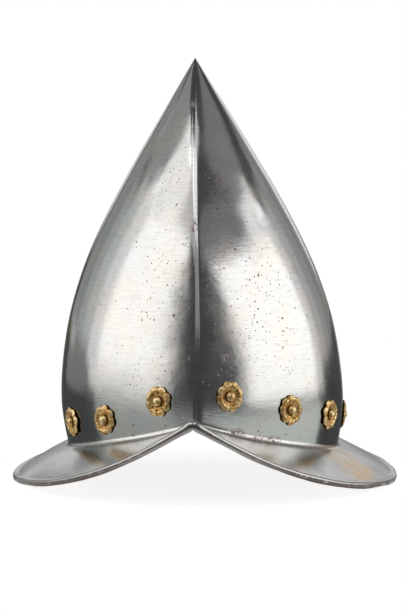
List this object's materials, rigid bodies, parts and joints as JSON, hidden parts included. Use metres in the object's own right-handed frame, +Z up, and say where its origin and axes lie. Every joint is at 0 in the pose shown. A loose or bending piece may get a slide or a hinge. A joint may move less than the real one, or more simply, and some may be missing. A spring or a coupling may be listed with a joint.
{
  "type": "morion helmet",
  "caption": "Peaked steel morion: a tall keeled skull, a boat-shaped brim with a rolled edge and a band of brass rosettes on domed rivets, worn on the head.",
  "frame": {"origin": "below the middle of the brim, in the plane that the lowest stretches of the rolled edge rest on", "axes": "+Z up to the apex, -Y towards the face, +X to the right of someone who looks at the helmet's face side"},
  "size_m": [0.2672, 0.355, 0.29],
  "materials": {
    "steel": "burnished by hand, with fine brush marks, brown rust pits and duller patches",
    "brass": "stamped, worn bright on the high places and brown in the hollows"
  },
  "bodies": {
    "root": {"skull_and_brim": "steel", "rosette_01": "brass", "rosette_02": "brass", "rosette_03": "brass", "rosette_04": "brass", "rosette_05": "brass", "rosette_06": "brass", "rosette_07": "brass", "rosette_08": "brass", "rosette_09": "brass", "rosette_10": "brass", "rosette_11": "brass", "rosette_12": "brass", "rosette_13": "brass", "rosette_14": "brass", "rivet_01": "brass", "rivet_02": "brass", "rivet_03": "brass", "rivet_04": "brass", "rivet_05": "brass", "rivet_06": "brass", "rivet_07": "brass", "rivet_08": "brass", "rivet_09": "brass", "rivet_10": "brass", "rivet_11": "brass", "rivet_12": "brass", "rivet_13": "brass", "rivet_14": "brass"}
  },
  "joints": []
}
